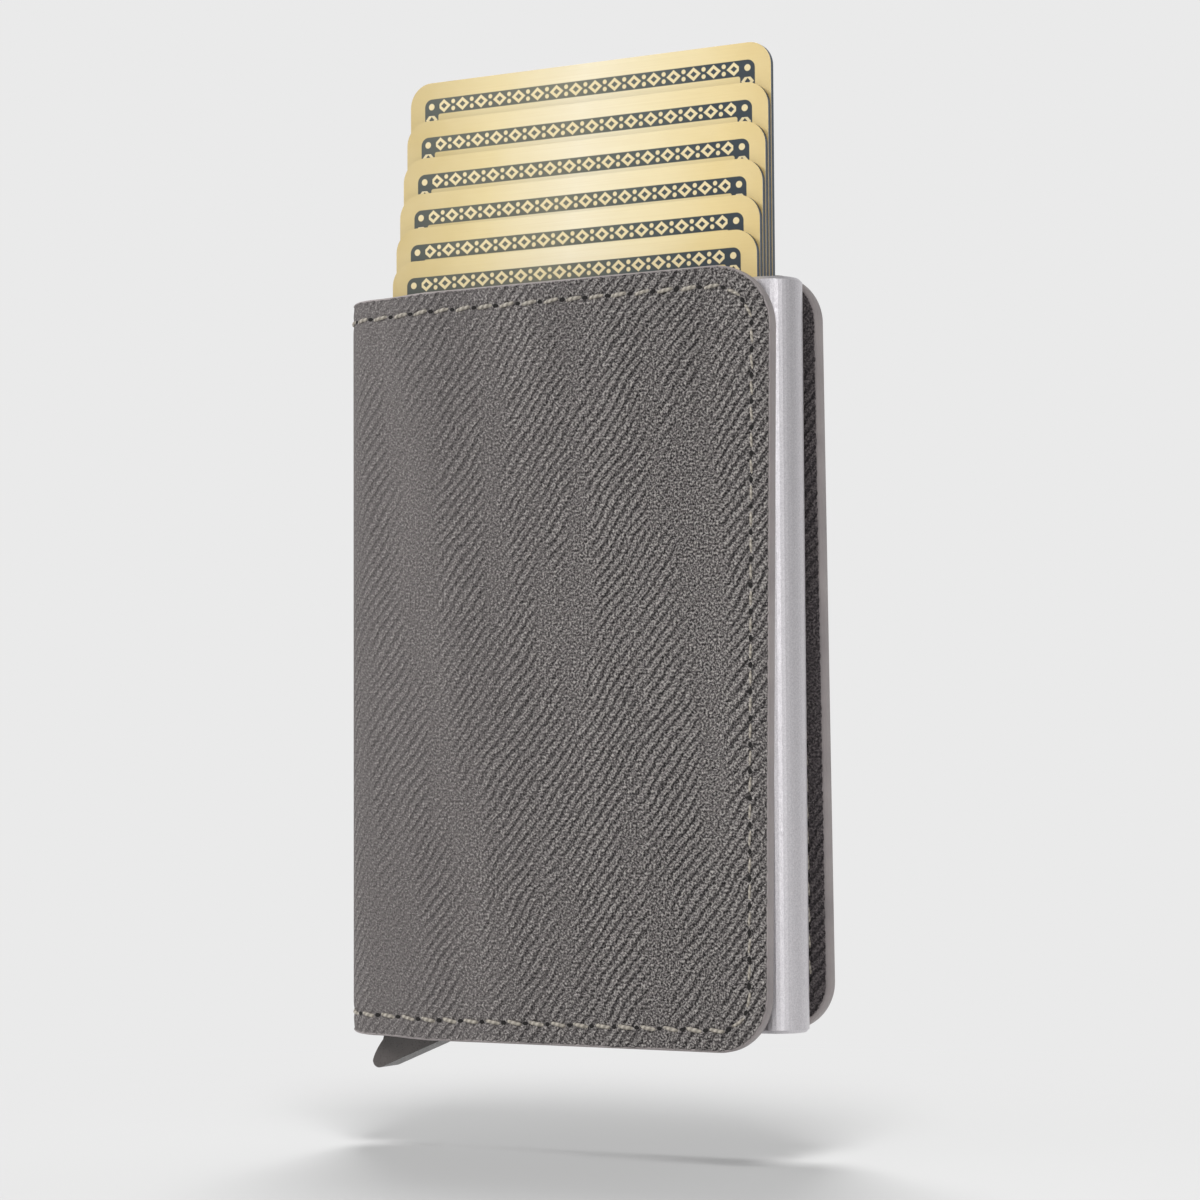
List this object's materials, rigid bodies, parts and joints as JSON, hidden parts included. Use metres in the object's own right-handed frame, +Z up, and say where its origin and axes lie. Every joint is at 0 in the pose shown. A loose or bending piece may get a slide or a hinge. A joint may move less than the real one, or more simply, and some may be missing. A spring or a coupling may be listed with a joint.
{
  "type": "slim card wallet",
  "caption": "Slim card wallet: aluminium card case in a folded, stitched leather wrap, with a stepped lever that fans the cards out and a front cover that opens on the leather spine.",
  "frame": {"origin": "middle of the wallet's outline in X and Y, level with its lowest point, the tip of the lever's trigger", "axes": "+X along the width, from the leather spine to the covers' free edges; +Y from the front cover to the back cover; +Z up, the way the cards come out"},
  "size_m": [0.0662, 0.0178, 0.133],
  "materials": {
    "aluminium": "satin, fine blasted and anodised silver",
    "cap_plastic": "matt black",
    "lever_plastic": "satin dark grey",
    "steel": "ground",
    "felt": "black felt",
    "tape": "pale foam tape",
    "outer_leather": "grey, embossed like twill, matt",
    "inner_leather": "darker grey, embossed like twill, matt",
    "card": "printed pale gold, satin"
  },
  "bodies": {
    "case": {"case_tube": "aluminium", "bottom_cap": "cap_plastic", "lever_pivot_pin": "steel", "friction_pad_front": "felt", "friction_pad_back": "felt", "case_tape": "tape", "back_outer_skin": "outer_leather", "back_inner_leather": "inner_leather", "spine_outer_skin": "outer_leather", "spine_inner_leather": "inner_leather"},
    "front_cover": {"front_outer_skin": "outer_leather", "front_inner_leather": "inner_leather", "card_slot_panel": "inner_leather", "note_pocket_panel": "inner_leather"},
    "ejector": {"ejector_lever": "lever_plastic"},
    "card_1": {"card_1": "card"},
    "card_2": {"card_2": "card"},
    "card_3": {"card_3": "card"},
    "card_4": {"card_4": "card"},
    "card_5": {"card_5": "card"},
    "card_6": {"card_6": "card"}
  },
  "joints": [
    {"name": "front_cover_open", "type": "hinge", "parent": "case", "child": "front_cover", "pos_m": [-0.03325, 0.00092, 0.0533], "axis": [0, 0, -1], "range_deg": [0, 180], "deforming": ["spine_outer_skin", "spine_inner_leather"]},
    {"name": "lever_turn", "type": "hinge", "parent": "case", "child": "ejector", "pos_m": [-0.02815, 0.00092, 0.0083], "axis": [0, -1, 0], "range_deg": [-37, 0]},
    {"name": "card_1_slide", "type": "slide", "parent": "case", "child": "card_1", "axis": [0, 0, 1], "range_m": [-0.00846, 0]},
    {"name": "card_2_slide", "type": "slide", "parent": "case", "child": "card_2", "axis": [0, 0, 1], "range_m": [-0.01311, 0]},
    {"name": "card_3_slide", "type": "slide", "parent": "case", "child": "card_3", "axis": [0, 0, 1], "range_m": [-0.01796, 0]},
    {"name": "card_4_slide", "type": "slide", "parent": "case", "child": "card_4", "axis": [0, 0, 1], "range_m": [-0.02301, 0]},
    {"name": "card_5_slide", "type": "slide", "parent": "case", "child": "card_5", "axis": [0, 0, 1], "range_m": [-0.02826, 0]},
    {"name": "card_6_slide", "type": "slide", "parent": "case", "child": "card_6", "axis": [0, 0, 1], "range_m": [-0.03371, 0]}
  ],
  "couplings": [
    {"joint": "card_1_slide", "follows": "lever_turn", "m_per_rad": 0.013085},
    {"joint": "card_2_slide", "follows": "lever_turn", "m_per_rad": 0.020286},
    {"joint": "card_3_slide", "follows": "lever_turn", "m_per_rad": 0.027796},
    {"joint": "card_4_slide", "follows": "lever_turn", "m_per_rad": 0.035616},
    {"joint": "card_5_slide", "follows": "lever_turn", "m_per_rad": 0.043746},
    {"joint": "card_6_slide", "follows": "lever_turn", "m_per_rad": 0.052186}
  ]
}
